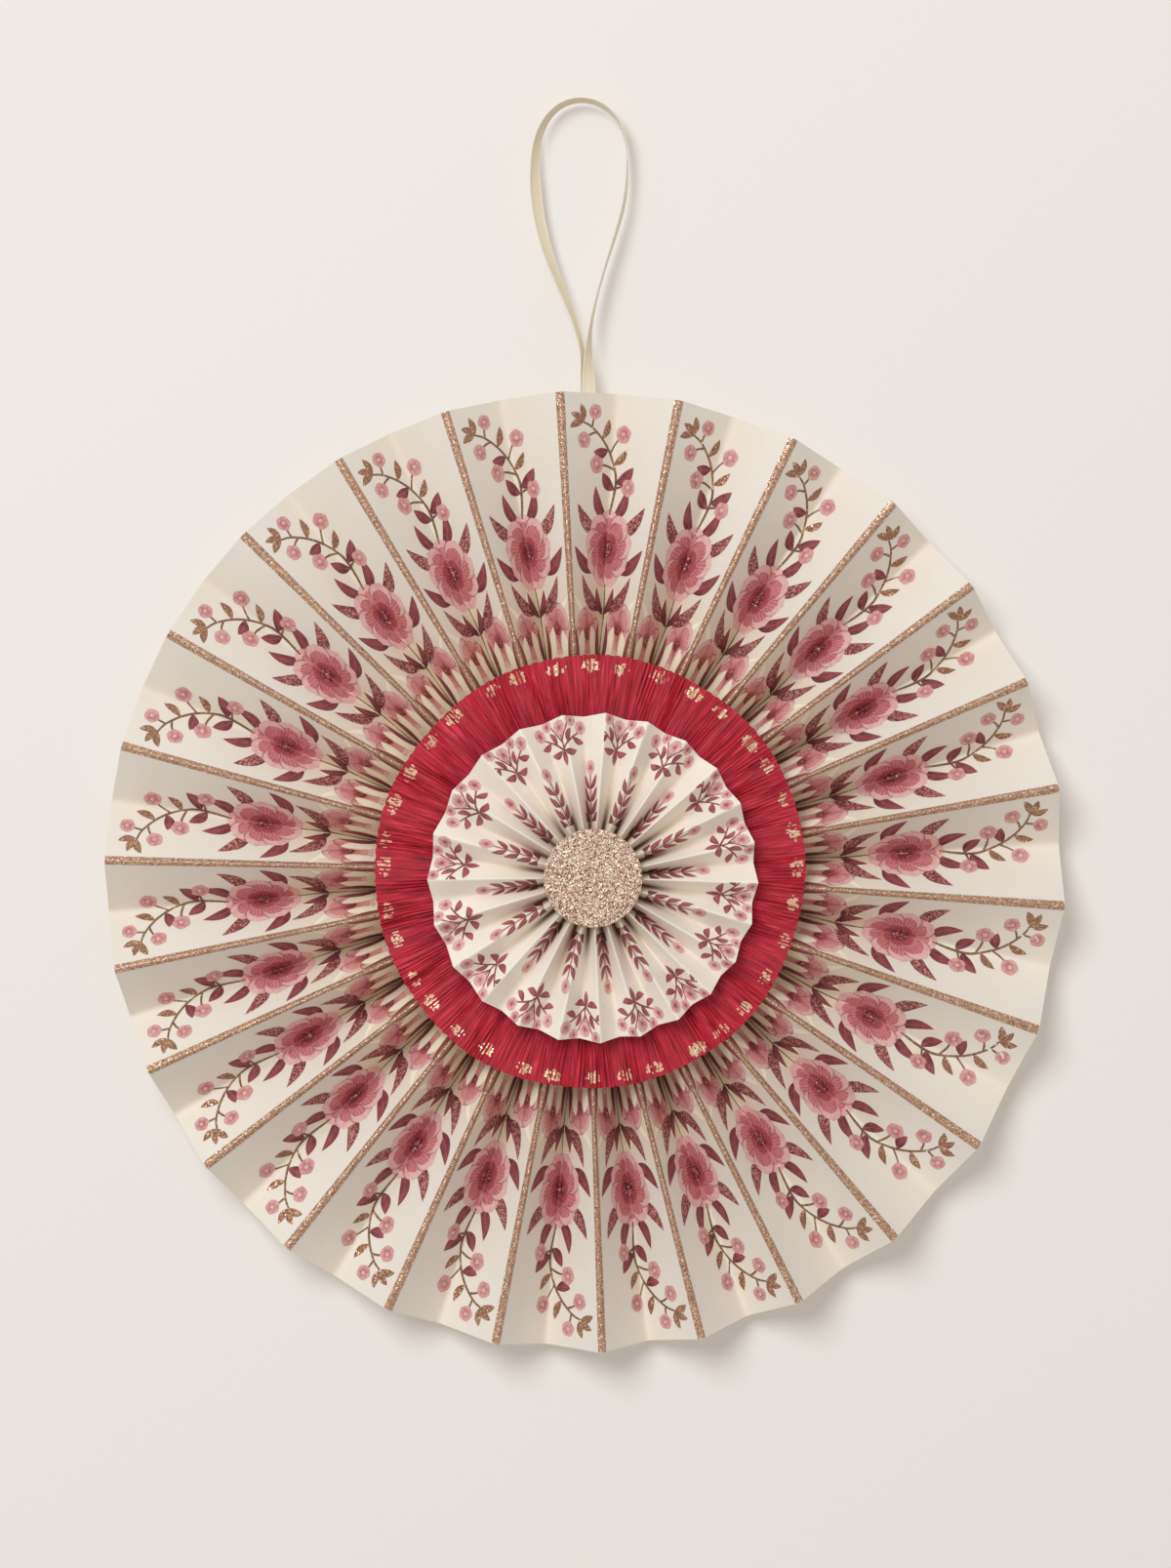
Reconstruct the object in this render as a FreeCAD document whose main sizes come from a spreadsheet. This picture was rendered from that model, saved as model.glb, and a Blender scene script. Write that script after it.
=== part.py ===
import FreeCAD, Part
import math
import os

import Sketcher
from FreeCAD import Vector

# Paper fan medallion: a large pleated fan that carries a gathered crepe ring, a small pleated
# rosette and a domed glitter disc on its front, a card disc and a ribbon loop on its back.
# Millimetres. The wall is the plane Y = 0, the front faces -Y and +Z is up. "Forward" is how far
# a point stands off the wall, so it is -Y, and angles run clockwise from +Z as the front shows them.

doc = FreeCAD.newDocument("paper_fan_medallion")

sizes = [
    ("backing_radius", 38.0),
    ("backing_card", 1.0),
    ("glue_line", 0.1),
    ("fan_radius", 152.5),
    ("fan_bore", 7.0),
    ("fan_pleats", 26),
    ("fan_rim_depth", 6.8),
    ("fan_paper", 0.3),
    ("fan_setback", 0.6),
    ("ring_radius", 68.2),
    ("ring_bore", 14.0),
    ("ring_gathers", 104),
    ("ring_gather_depth", 0.6),
    ("ring_crepe", 0.25),
    ("ring_wobble", 0.8),
    ("ring_right", 1.4),
    ("rosette_radius", 52.0),
    ("rosette_bore", 4.0),
    ("rosette_pleats", 24),
    ("rosette_rim_depth", 4.6),
    ("rosette_paper", 0.25),
    ("rosette_setback", 0.5),
    ("rosette_right", 2.3),
    ("rosette_down", 1.7),
    ("disc_radius", 15.5),
    ("disc_card", 0.9),
    ("disc_dome", 0.8),
    ("ribbon_width", 4.7),
    ("ribbon_gauge", 0.3),
    ("ribbon_apart", 1.8),
]

sheet = doc.addObject("Spreadsheet::Sheet", "sizes")
for row, (name, value) in enumerate(sizes, start=1):
    sheet.set(f"A{row}", name)
    sheet.set(f"B{row}", str(value))
    sheet.setAlias(f"B{row}", name)
doc.recompute()


def size(name):
    return float(sheet.get(name))


# How the folds crowd and spread round each hand-made fan: the angle of the first front fold, and
# swings given as (waves round the circle, degrees to either side, degrees where it is widest).
fanFirst = -2.6
fanSwings = [(1, 2.0, 119.0), (2, 1.0, -28.0), (3, 0.8, 56.0), (4, 0.9, -146.0)]
rosetteFirst = 0.8
rosetteSwings = [(1, 3.7, 19.0), (2, 0.5, -66.0)]

# The ribbon's middle line as (right, forward, up, turn). It starts on the rear tail, goes up the
# left side of the loop and comes down its right side to the front tail. The turn, in degrees, is
# 0 where the ribbon's face looks into the loop and 90 or -90 where it lies flat to the wall. The
# tails' points start from the groove's middle and their forward is added to the tail's own.
rearTail = [(-1.85, 0.3, 56, 90), (-1.05, 1.4, 92, 90), (-0.35, 4.2, 124, 90)]
frontTail = [(0.05, 0.3, 56, -90), (0.85, 1.4, 92, -90), (1.5, 4.2, 124, -90)]
loopPoints = [
    (0.7, 7.4, 144, 90),
    (0.35, 7.6, 156, 60),
    (-0.6, 7.0, 165, 18),
    (-2.9, 6.4, 174, 20),
    (-6.4, 5.8, 183.5, 28),
    (-10.5, 5.3, 193.5, 40),
    (-14.0, 5.0, 204.5, 52),
    (-15.9, 4.8, 216, 54),
    (-16.2, 4.6, 225.8, 42),
    (-15.3, 4.3, 234.6, 30),
    (-12.2, 4.0, 241.2, 21),
    (-7.3, 3.8, 245.6, 16),
    (-0.7, 3.7, 247.0, 14),
    (5.7, 3.7, 245.0, 12),
    (10.7, 3.9, 240.1, 9),
    (13.1, 4.2, 233.2, 2),
    (13.5, 4.5, 224, -7),
    (12.6, 4.8, 213.8, -12),
    (9.9, 5.1, 204.2, -9),
    (6.4, 5.5, 193.5, -5),
    (3.3, 5.9, 182.5, -5),
    (1.4, 6.4, 173, -12),
    (0.8, 6.9, 164.5, -32),
    (1.05, 7.6, 156, -64),
    (1.25, 7.8, 144, -90),
]


def foldAngles(pleats, first, swings):
    """Angles of every fold in degrees: a front fold, then the back fold that follows it, and so on."""
    fronts = []
    for k in range(pleats):
        even = 360.0 * k / pleats
        drift = sum(reach * math.cos(math.radians(waves * even - widest)) for waves, reach, widest in swings)
        fronts.append(first + even + drift)
    fronts.append(fronts[0] + 360.0)
    angles = []
    for this, following in zip(fronts, fronts[1:]):
        angles += [this, (this + following) / 2]
    return angles


class Pleats:
    """A strip of paper folded to and fro and drawn into a circle, so that its panels, all of one
    width, stand on edge at the bore and spread almost flat at the rim."""

    def __init__(self, prefix, first, swings):
        self.radius = size(prefix + "_radius")
        self.bore = size(prefix + "_bore")
        self.paper = size(prefix + "_paper")
        self.setback = size(prefix + "_setback")
        self.angles = foldAngles(int(size(prefix + "_pleats")), first, swings)
        self.count = len(self.angles)
        self.gaps = [(self.angles[(k + 1) % self.count] - self.angles[k]) % 360 for k in range(self.count)]
        widest = max(self.span(k, self.radius) for k in range(self.count))
        self.panel = math.hypot(widest, size(prefix + "_rim_depth"))

    def span(self, k, radius):
        """Straight distance between fold k and the next one, seen from the front."""
        return 2 * radius * math.sin(math.radians(self.gaps[k % self.count] / 2))

    def panelDepth(self, k, radius):
        return math.sqrt(self.panel ** 2 - self.span(k, radius) ** 2)

    def lift(self, k, radius):
        """How far fold k stands off the fan's middle plane."""
        return (self.panelDepth(k, radius) + self.panelDepth(k - 1, radius)) / 4

    def highest(self, radius):
        """How far the outside of the paper reaches from the middle plane at one radius."""
        return max(self.lift(k, radius) for k in range(self.count)) + self.paper / 2

    def section(self, radius, middle):
        """Each fold's cut at one radius: two points across its outer edge and one in its crook."""
        cut = []
        for k, angle in enumerate(self.angles):
            side = 1 if k % 2 == 0 else -1
            reach = radius if side > 0 else radius * (1 - self.setback / self.radius)
            before, after = self.span(k - 1, reach), self.span(k, reach)
            rise = self.lift(k, radius)
            tips = [self.paper * (self.panel - wide) / (4 * rise) for wide in (before, after)]
            crook = self.paper * self.panel * (1 / before + 1 / after) / 4
            outer = middle + side * (rise + self.paper / 2)
            inner = middle + side * (rise - crook)
            cut.append([
                onCircle(reach, angle, outer, -tips[0]),
                onCircle(reach, angle, outer, tips[1]),
                onCircle(reach, angle, inner, 0),
            ])
        return cut

    def solid(self, middle):
        steps = 6
        radii = [self.bore + (self.radius - self.bore) * math.sin(math.pi / 2 * i / steps)
                 for i in range(steps + 1)]
        cuts = [self.section(radius, middle) for radius in radii]
        faces = []
        for k in range(self.count):
            nxt = (k + 1) % self.count
            for near, far in zip(cuts, cuts[1:]):
                (a0, a1, aIn), (b0, b1, bIn) = near[k], far[k]
                (c0, _, cIn), (d0, _, dIn) = near[nxt], far[nxt]
                faces += quad(a0, a1, b1, b0)
                faces += quad(a1, cIn, dIn, b1)
                faces += quad(aIn, c0, d0, bIn)
            for cut in (cuts[0], cuts[-1]):
                (a0, a1, aIn), (c0, _, cIn) = cut[k], cut[nxt]
                faces.append(triangle(a0, a1, aIn))
                faces += quad(a1, cIn, c0, aIn)
        return closedSolid(faces)


def onCircle(radius, angle, forward, along=0.0):
    """The point at a radius and an angle, moved along the circle's tangent."""
    turn = math.radians(angle)
    return Vector(radius * math.sin(turn) + along * math.cos(turn), -forward,
                  radius * math.cos(turn) - along * math.sin(turn))


def triangle(a, b, c):
    return Part.Face(Part.makePolygon([a, b, c, a]))


def quad(a, b, c, d):
    return [triangle(a, b, c), triangle(a, c, d)]


def closedSolid(faces):
    solid = Part.Solid(Part.Shell(faces))
    if solid.Volume < 0:
        solid.reverse()
    return solid


def gatheredRing(seat):
    """A strip of crepe drawn into a ring. seat(radius) is how far forward its back may lie."""
    crepe, depth = size("ring_crepe"), size("ring_gather_depth")
    inner, outer = size("ring_bore"), size("ring_radius")
    count = 2 * int(size("ring_gathers"))
    shares = [0.0, 0.35, 0.7, 1.0]
    lines = []
    for k in range(count):
        angle = 360.0 * k / count
        turn = math.radians(angle)
        wave = math.sin(2 * turn + 0.6) + 0.6 * math.sin(5 * turn + 2.0) + 0.5 * math.sin(9 * turn)
        edge = outer + size("ring_wobble") * wave / 2
        line = []
        for share in shares:
            radius = inner + (edge - inner) * share
            ridge = depth * (0.7 + 0.3 * math.sin(7 * turn + 3 * share)) if k % 2 else 0.0
            back = seat(radius) + ridge
            line.append([onCircle(radius, angle, back), onCircle(radius, angle, back + crepe)])
        lines.append(line)
    faces = []
    for k in range(count):
        this, following = lines[k], lines[(k + 1) % count]
        for i in range(len(shares) - 1):
            for side in (0, 1):
                faces += quad(this[i][side], this[i + 1][side], following[i + 1][side], following[i][side])
        for i in (0, -1):
            faces += quad(this[i][0], this[i][1], following[i][1], following[i][0])
    return closedSolid(faces)


def runsAndArcs(points):
    """Samples of a route of straight runs joined by tangent arcs, each as (place, direction, turn)."""
    places = [Vector(*point[:3]) for point in points]
    turns = [point[3] for point in points]
    samples = [(places[0], (places[1] - places[0]).normalize(), turns[0])]
    radii = []
    for k in range(1, len(points) - 1):
        toBack, toAhead = places[k - 1] - places[k], places[k + 1] - places[k]
        cutOff = 0.45 * min(toBack.Length, toAhead.Length)
        halfTurn = (math.pi - toBack.getAngle(toAhead)) / 2
        radii.append(cutOff / math.tan(halfTurn))
        start = places[k] + toBack.normalize() * cutOff
        end = places[k] + toAhead.normalize() * cutOff
        inward = ((start + end) / 2 - places[k]).normalize()
        crown = places[k] + inward * radii[-1] * (1 / math.cos(halfTurn) - 1)
        samples.append((start, -toBack, turns[k]))
        samples.append((crown, (end - start).normalize(), turns[k]))
        samples.append((end, toAhead, turns[k]))
    samples.append((places[-1], (places[-1] - places[-2]).normalize(), turns[-1]))
    return samples, radii


def ribbonRoute(backingFront):
    """The tails lie in the groove behind the front fold that is nearest the top, the front one a
    little to the right, and end where the groove is just wide enough for both."""
    right, left = fan.angles[1], fan.angles[-1] - 360.0
    apart = size("ribbon_apart")
    room = size("ribbon_width") + apart + 2 * (size("glue_line") + fan.paper)
    ends = room / 2 / math.sin(math.radians((right - left) / 2))
    middle = ends * math.sin(math.radians((right + left) / 2))
    rear = backingFront + size("glue_line") + size("ribbon_gauge") / 2
    front = rear + size("ribbon_gauge") + size("glue_line")
    route = [(middle - apart / 2, -rear, ends, 90)]
    route += [(x, -rear - forward, z, turn) for x, forward, z, turn in rearTail]
    route += [(x, -forward, z, turn) for x, forward, z, turn in loopPoints]
    route += [(x, -front - forward, z, turn) for x, forward, z, turn in reversed(frontTail)]
    route.append((middle + apart / 2, -front, ends, -90))
    print("ribbon tails end", round(ends, 1), "mm up, the card reaches", size("backing_radius"))
    return route


def ribbonBand(route, width, gauge):
    """A flat band along the route. Its face turns about the route as the points say."""
    samples, radii = runsAndArcs(route)
    print("ribbon length", round(sum((b[0] - a[0]).Length for a, b in zip(samples, samples[1:])), 1))
    print("ribbon arc radii", [round(radius, 1) for radius in radii])
    forward = Vector(0, -1, 0)
    cuts = []
    for place, along, turn in samples:
        intoLoop = Vector(along.z, 0, -along.x).normalize()
        cosine, sine = math.cos(math.radians(turn)), math.sin(math.radians(turn))
        across = (forward * cosine - intoLoop * sine) * (width / 2)
        through = (intoLoop * cosine + forward * sine) * (gauge / 2)
        cuts.append([place + across + through, place - across + through,
                     place - across - through, place + across - through])
    faces = quad(*cuts[0]) + quad(*cuts[-1])
    for near, far in zip(cuts, cuts[1:]):
        for i in range(4):
            faces += quad(near[i], near[i - 1], far[i - 1], far[i])
    return closedSolid(faces)


def planeOf(body, role):
    return next(plane for plane in body.Origin.OriginFeatures if plane.Role == role)


def roundOfCard(label, radius, card):
    """A flat round of card with its back on the wall plane."""
    body = doc.addObject("PartDesign::Body", label)
    outline = body.newObject("Sketcher::SketchObject", label + "_outline")
    outline.AttachmentSupport = (planeOf(body, "XZ_Plane"), [""])
    outline.MapMode = "FlatFace"
    outline.addGeometry(Part.Circle(Vector(), Vector(0, 0, 1), size(radius)), False)
    outline.addConstraint(Sketcher.Constraint("Coincident", 0, 3, -1, 1))
    edge = outline.addConstraint(Sketcher.Constraint("Radius", 0, size(radius)))
    outline.setExpression(f"Constraints[{edge}]", "sizes." + radius)
    pad = body.newObject("PartDesign::Pad", label + "_card")
    pad.Profile = outline
    pad.setExpression("Length", "sizes." + card)
    doc.recompute()
    if body.Shape.BoundBox.YMax > size(card) / 2:
        pad.Reversed = True
    return body


def domedRound(label):
    """A round of card pressed into a slight dome: half its section turned about the Y axis. The
    dome's face is three cones that follow a ball."""
    radius, card, dome = size("disc_radius"), size("disc_card"), size("disc_dome")
    corners = [("0", "0", 0.0, 0.0), ("sizes.disc_radius", "0", radius, 0.0)]
    for share in (1.0, 0.7, 0.4, 0.0):
        rise = 1 - share ** 2
        corners.append((f"sizes.disc_radius * {share}", f"sizes.disc_card + sizes.disc_dome * {rise}",
                        radius * share, card + dome * rise))
    body = doc.addObject("PartDesign::Body", label)
    half = body.newObject("Sketcher::SketchObject", label + "_section")
    half.AttachmentSupport = (planeOf(body, "XY_Plane"), [""])
    half.MapMode = "FlatFace"
    places = [Vector(right, -forward, 0) for _, _, right, forward in corners]
    count = len(places)
    half.addGeometry([Part.LineSegment(places[k], places[(k + 1) % count]) for k in range(count)], False)
    half.addConstraint([Sketcher.Constraint("Coincident", k, 2, (k + 1) % count, 1) for k in range(count)])
    half.addConstraint(Sketcher.Constraint("Coincident", 0, 1, -1, 1))
    half.addConstraint(Sketcher.Constraint("Horizontal", 0))
    half.addConstraint(Sketcher.Constraint("Vertical", 1))
    half.addConstraint(Sketcher.Constraint("PointOnObject", count - 1, 1, -2))
    for k, (across, along, right, forward) in enumerate(corners):
        if right > 0 and k != 2:
            wide = half.addConstraint(Sketcher.Constraint("DistanceX", -1, 1, k, 1, right))
            half.setExpression(f"Constraints[{wide}]", across)
        if forward > 0:
            deep = half.addConstraint(Sketcher.Constraint("DistanceY", k, 1, -1, 1, forward))
            half.setExpression(f"Constraints[{deep}]", along)
    turned = body.newObject("PartDesign::Revolution", label + "_turned")
    turned.Profile = half
    turned.ReferenceAxis = (half, ["V_Axis"])
    turned.Angle = 360
    return body


def paperPiece(label, shape):
    piece = doc.addObject("Part::Feature", label)
    piece.Shape = shape
    return piece


def place(piece, right, forward, up):
    piece.Placement = FreeCAD.Placement(Vector(right, -forward, up), FreeCAD.Rotation())


glue = size("glue_line")
cardFront = size("backing_card")
fan = Pleats("fan", fanFirst, fanSwings)
rosette = Pleats("rosette", rosetteFirst, rosetteSwings)

# Each piece is stuck to the one behind it, with the same thin line of glue between them.
fanMiddle = cardFront + glue + fan.highest(fan.bore)
ringTop = fanMiddle + fan.highest(fan.bore) + glue + size("ring_gather_depth") + size("ring_crepe")
rosetteMiddle = ringTop + glue + rosette.highest(rosette.bore)
discBack = rosetteMiddle + rosette.highest(rosette.bore) + glue


def ringSeat(radius):
    return fanMiddle + fan.highest(radius + size("ring_right")) + glue


route = ribbonRoute(cardFront)

pieces = [
    roundOfCard("backing_disc", "backing_radius", "backing_card"),
    paperPiece("large_fan", fan.solid(fanMiddle)),
    paperPiece("crepe_ring", gatheredRing(ringSeat)),
    paperPiece("small_rosette", rosette.solid(0)),
    domedRound("glitter_disc"),
    paperPiece("ribbon_loop", ribbonBand(route, size("ribbon_width"), size("ribbon_gauge"))),
]
backing, fanPiece, ringPiece, rosettePiece, discPiece, ribbonPiece = pieces
place(ringPiece, size("ring_right"), 0, 0)
place(rosettePiece, size("rosette_right"), rosetteMiddle, -size("rosette_down"))
place(discPiece, size("rosette_right"), discBack, -size("rosette_down"))
doc.recompute()

for item in doc.Objects:
    if "Invalid" in item.State or "Error" in item.State:
        raise RuntimeError(f"{item.Name} has the state {item.State}")

os.makedirs("parts", exist_ok=True)
for piece in pieces:
    if piece.Shape.isNull() or not piece.Shape.isValid() or len(piece.Shape.Solids) != 1:
        raise RuntimeError(f"{piece.Label} isn't one valid solid")
    piece.Shape.exportStep(f"parts/{piece.Label}.step")
    box = piece.Shape.BoundBox
    print(piece.Label, "volume", round(piece.Shape.Volume, 1), "x", round(box.XMin, 2), round(box.XMax, 2),
          "y", round(box.YMin, 2), round(box.YMax, 2), "z", round(box.ZMin, 2), round(box.ZMax, 2))
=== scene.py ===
import bpy
import math
import random
import numpy as np
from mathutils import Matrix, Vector
from mathutils.geometry import delaunay_2d_cdt


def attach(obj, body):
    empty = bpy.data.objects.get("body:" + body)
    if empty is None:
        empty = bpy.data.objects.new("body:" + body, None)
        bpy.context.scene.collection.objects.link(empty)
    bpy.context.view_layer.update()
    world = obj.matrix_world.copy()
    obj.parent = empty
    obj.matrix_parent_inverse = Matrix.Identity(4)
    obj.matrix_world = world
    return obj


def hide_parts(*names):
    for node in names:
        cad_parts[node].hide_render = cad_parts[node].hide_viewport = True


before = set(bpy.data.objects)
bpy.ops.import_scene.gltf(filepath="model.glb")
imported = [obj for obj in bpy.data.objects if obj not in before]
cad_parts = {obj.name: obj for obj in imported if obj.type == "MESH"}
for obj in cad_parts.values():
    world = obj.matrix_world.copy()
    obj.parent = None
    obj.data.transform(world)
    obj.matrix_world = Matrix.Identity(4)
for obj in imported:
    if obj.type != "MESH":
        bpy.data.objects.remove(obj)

# Paper fan medallion. Metres: the wall is y = 0, the front faces -y and +z is up.
scene = bpy.context.scene
scene.view_settings.view_transform = "Standard"
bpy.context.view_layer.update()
mm = 0.001


# Camera, as the photograph was taken: straight on, from far off

shot = {"distance": 1.5, "rimForward": 0.012, "viewWidth": 0.3726, "height": 0.0278, "sensor": 36}

bpy.ops.object.camera_add(location=(0, -shot["distance"] - shot["rimForward"], shot["height"]),
                          rotation=(math.radians(90), 0, 0))
camera = bpy.context.object
camera.name = "camera"
camera.data.sensor_width = shot["sensor"]
camera.data.sensor_fit = "HORIZONTAL"
camera.data.lens = shot["sensor"] * shot["distance"] / shot["viewWidth"]
scene.camera = camera
print("camera")


# Shader maths

class Wire:
    # a socket that takes part in Python expressions
    def __init__(self, paint, socket):
        self.paint, self.socket = paint, socket

    def __add__(self, other):
        return self.paint.maths("ADD", self, other)

    def __sub__(self, other):
        return self.paint.maths("SUBTRACT", self, other)

    def __rsub__(self, other):
        return self.paint.maths("SUBTRACT", other, self)

    def __mul__(self, other):
        return self.paint.maths("MULTIPLY", self, other)

    def __truediv__(self, other):
        return self.paint.maths("DIVIDE", self, other)

    def __gt__(self, other):
        return self.paint.maths("GREATER_THAN", self, other)

    def __pow__(self, other):
        return self.paint.maths("POWER", self, other)

    __radd__ = __add__
    __rmul__ = __mul__


class Paint:
    # a material whose nodes are added by one method
    def __init__(self, name, **shader):
        self.material = bpy.data.materials.new(name)
        self.material.use_nodes = True
        self.nodes = self.material.node_tree.nodes
        self.links = self.material.node_tree.links
        self.shader = self.nodes["Principled BSDF"]
        self.set(self.shader, shader)

    def set(self, node, values):
        for key, value in values.items():
            socket = node.inputs[key]
            if isinstance(value, Wire):
                self.links.new(value.socket, socket)
            elif hasattr(value, "__len__") and len(value) == 3 and socket.type == "RGBA":
                socket.default_value = (*value, 1)
            else:
                socket.default_value = value

    def add(self, kind, settings=None, values=None, out=0):
        node = self.nodes.new("ShaderNode" + kind)
        for key, value in (settings or {}).items():
            if key == "stops":
                ramp = node.color_ramp
                while len(ramp.elements) < len(value):
                    ramp.elements.new(0.5)
                for element, (place, tone) in zip(ramp.elements, value):
                    element.position = place
                    element.color = (*tone, 1)
            else:
                setattr(node, key, value)
        self.set(node, values or {})
        return Wire(self, node.outputs[out])

    def surface(self, **values):
        self.set(self.shader, {key.replace("_", " "): value for key, value in values.items()})

    def maths(self, operation, *values):
        return self.add("Math", {"operation": operation}, dict(enumerate(values)))

    def vectors(self, operation, values):
        return self.add("VectorMath", {"operation": operation}, values)

    def place(self):
        return self.add("TexCoord", out="Object")

    def split(self, vector):
        # the three numbers of a vector or a colour
        node = self.add("SeparateXYZ", None, {0: vector}).socket.node
        return [Wire(self, output) for output in node.outputs]

    def uv(self, name):
        return self.split(self.add("UVMap", {"uv_map": name}))[:2]

    def noise(self, place, scale, detail=3.0, rough=0.55):
        return self.add("TexNoise", None,
                        {"Vector": place, "Scale": scale, "Detail": detail, "Roughness": rough}, "Fac")

    def cells(self, place, scale):
        return self.add("TexVoronoi", None, {"Vector": place, "Scale": scale}, "Color")

    def blend(self, share, first, second):
        return self.add("Mix", {"data_type": "RGBA", "blend_type": "MIX", "clamp_factor": True},
                        {0: share, 6: first, 7: second}, 2)

    def remap(self, value, low, high, toLow=0.0, toHigh=1.0, smooth=False):
        return self.add("MapRange", {"interpolation_type": "SMOOTHSTEP" if smooth else "LINEAR"},
                        {"Value": value, 1: low, 2: high, 3: toLow, 4: toHigh})

    def stretched(self, place, scale):
        return self.add("Mapping", None, {"Vector": place, "Scale": scale})

    def bump(self, height, depth, strength=1.0):
        bumped = self.add("Bump", None, {"Height": height, "Distance": depth, "Strength": strength})
        self.surface(Normal=bumped)


def linear(level):
    # one channel of a colour as it is seen, 0 to 255, made linear
    share = level / 255
    return share / 12.92 if level <= 10 else ((share + 0.055) / 1.055) ** 2.4


def colour(red, green, blue):
    return linear(red), linear(green), linear(blue)


# Meshes

def clearSelection():
    bpy.ops.object.select_all(action="DESELECT")


def useOnly(piece):
    clearSelection()
    piece.select_set(True)
    bpy.context.view_layer.objects.active = piece


def dress(piece, paint):
    piece.data.materials.clear()
    piece.data.materials.append(paint.material)


def finishPiece(piece, paint, slot, *nodes):
    dress(piece, paint)
    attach(piece, "root")
    if nodes:
        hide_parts(*nodes)
    print(piece.name, len(piece.data.polygons), "faces")


def pieceFromFaces(name, corners, faces):
    mesh = bpy.data.meshes.new(name)
    mesh.from_pydata([tuple(c) for c in corners], [], [tuple(f) for f in faces])
    mesh.update()
    piece = bpy.data.objects.new(name, mesh)
    scene.collection.objects.link(piece)
    return piece


def bentGrid(name, places):
    # a grid primitive, bent to the places that it is given: row by row, columns first
    rows, columns = places.shape[:2]
    clearSelection()
    bpy.ops.mesh.primitive_grid_add(x_subdivisions=columns - 1, y_subdivisions=rows - 1, size=1)
    piece = bpy.context.object
    piece.name = name
    piece.data.name = name
    piece.data.vertices.foreach_set("co", np.asarray(places, np.float32).ravel())
    piece.data.update()
    return piece


def cornerPoints(piece):
    # which point each corner of each face is
    points = np.zeros(len(piece.data.loops), np.int32)
    piece.data.loops.foreach_get("vertex_index", points)
    return points


def setUv(layer, places):
    layer.data.foreach_set("uv", places.astype(np.float32).ravel())


def tidyNormals(piece, mergeDistance):
    useOnly(piece)
    bpy.ops.object.mode_set(mode="EDIT")
    bpy.ops.mesh.select_all(action="SELECT")
    if mergeDistance:
        bpy.ops.mesh.remove_doubles(threshold=mergeDistance)
    bpy.ops.mesh.normals_make_consistent(inside=False)
    bpy.ops.object.mode_set(mode="OBJECT")


def faceFront(piece):
    # an open sheet's faces are turned to the front
    normals = np.zeros(len(piece.data.polygons) * 3, np.float32)
    piece.data.polygons.foreach_get("normal", normals)
    if normals[1::3].sum() > 0:
        piece.data.flip_normals()


def thicken(piece, gauge):
    useOnly(piece)
    wall = piece.modifiers.new("thickness", "SOLIDIFY")
    wall.thickness = gauge
    wall.offset = 0
    wall.use_even_offset = True
    bpy.ops.object.modifier_apply(modifier=wall.name)


def smoothUnder(piece, degrees):
    useOnly(piece)
    bpy.ops.object.shade_smooth_by_angle(angle=math.radians(degrees))


# Ribbon loop: one length of satin ribbon, both tails under the card disc

ribbon = {"width": 4.7 * mm, "gauge": 0.3 * mm, "length": 0.4537, "picot": 0.13 * mm, "picotPitch": 0.95 * mm,
          "picotFrom": 0.9, "cup": 0.12 * mm, "steps": 30, "satin": colour(250, 239, 208),
          "shade": colour(240, 225, 191), "trim": colour(255, 251, 238), "trimShade": colour(234, 221, 192)}

# across the ribbon, shares of its half width and half gauge: a thin body between thicker woven edges
ribbonSection = [(-1, 0.25), (-0.94, 0.95), (-0.86, 0.95), (-0.8, 0.55), (-0.5, 0.5), (0, 0.5), (0.5, 0.5),
                 (0.8, 0.55), (0.86, 0.95), (0.94, 0.95), (1, 0.25)]

# the route's points, right, back and up in metres, and how far the ribbon's face is turned, in degrees
ribbonRoute = [
    (-0.00242, -0.00125, 0.0298, 90), (-0.00185, -0.00155, 0.056, 90), (-0.00105, -0.00265, 0.092, 90),
    (-0.00035, -0.00545, 0.124, 90), (0.0007, -0.0074, 0.144, 90), (0.00035, -0.0076, 0.156, 60),
    (-0.0006, -0.007, 0.165, 18), (-0.0029, -0.0064, 0.174, 20), (-0.0064, -0.0058, 0.1835, 28),
    (-0.0105, -0.0053, 0.1935, 40), (-0.014, -0.005, 0.2045, 52), (-0.0159, -0.0048, 0.216, 54),
    (-0.0162, -0.0046, 0.2258, 42), (-0.0153, -0.0043, 0.2346, 30), (-0.0122, -0.004, 0.2412, 21),
    (-0.0073, -0.0038, 0.2456, 16), (-0.0007, -0.0037, 0.247, 14), (0.0057, -0.0037, 0.245, 12),
    (0.0107, -0.0039, 0.2401, 9), (0.0131, -0.0042, 0.2332, 2), (0.0135, -0.0045, 0.224, -7),
    (0.0126, -0.0048, 0.2138, -12), (0.0099, -0.0051, 0.2042, -9), (0.0064, -0.0055, 0.1935, -5),
    (0.0033, -0.0059, 0.1825, -5), (0.0014, -0.0064, 0.173, -12), (0.0008, -0.0069, 0.1645, -32),
    (0.00105, -0.0076, 0.156, -64), (0.00125, -0.0078, 0.144, -90), (0.0015, -0.00585, 0.124, -90),
    (0.00085, -0.00305, 0.092, -90), (0.00005, -0.00195, 0.056, -90), (-0.00062, -0.00165, 0.0298, -90),
]


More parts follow.
